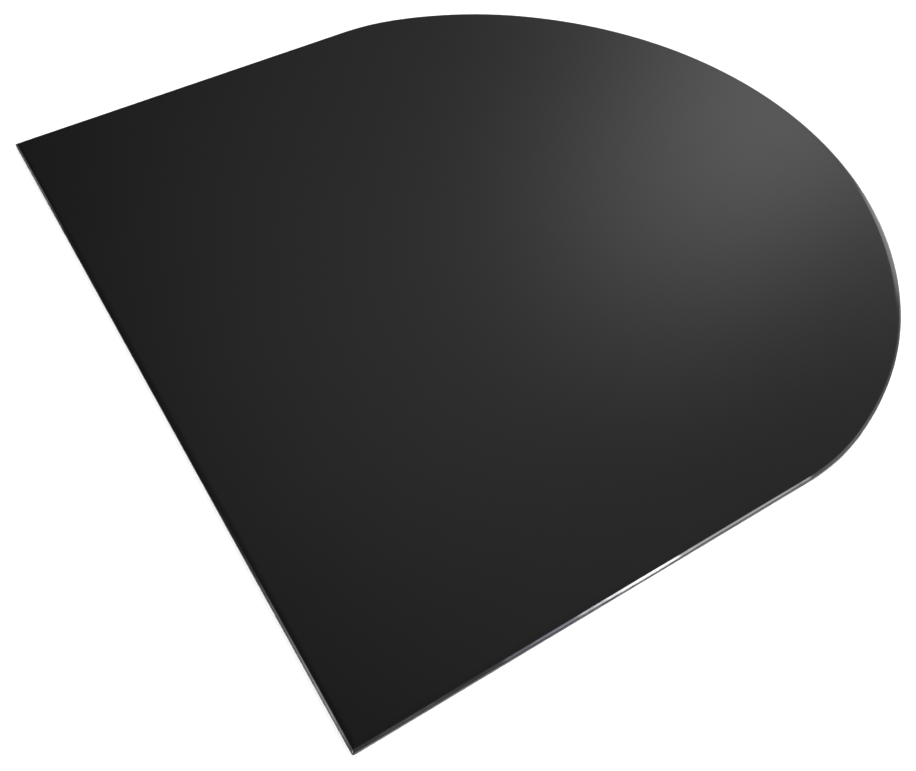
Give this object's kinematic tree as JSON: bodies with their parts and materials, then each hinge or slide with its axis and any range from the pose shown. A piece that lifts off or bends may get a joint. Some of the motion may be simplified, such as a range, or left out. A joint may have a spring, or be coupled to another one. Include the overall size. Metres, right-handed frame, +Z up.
{
  "type": "kick plate",
  "caption": "D-shaped black glass floor and kick protection plate: square corners, rounded end, bevelled polished edge, on clear soft feet.",
  "frame": {"origin": "on the floor, under the middle of the plate's bounding box", "axes": "+Z up, out of the top face; +X along the straight edge; +Y from the straight edge to the rounded end"},
  "size_m": [1.1, 1.02, 0.0083],
  "materials": {
    "black_glass": "polished",
    "black_enamel": "satin",
    "clear_rubber": "clear, soft",
    "adhesive": "clear film"
  },
  "bodies": {
    "root": {"glass_pane": "black_glass", "enamel_backing": "black_enamel", "adhesive_discs": "adhesive", "foot_corner_left": "clear_rubber", "foot_straight_edge": "clear_rubber", "foot_corner_right": "clear_rubber", "foot_side_left": "clear_rubber", "foot_centre": "clear_rubber", "foot_side_right": "clear_rubber", "foot_crown_left": "clear_rubber", "foot_crown_middle": "clear_rubber", "foot_crown_right": "clear_rubber"}
  },
  "joints": []
}
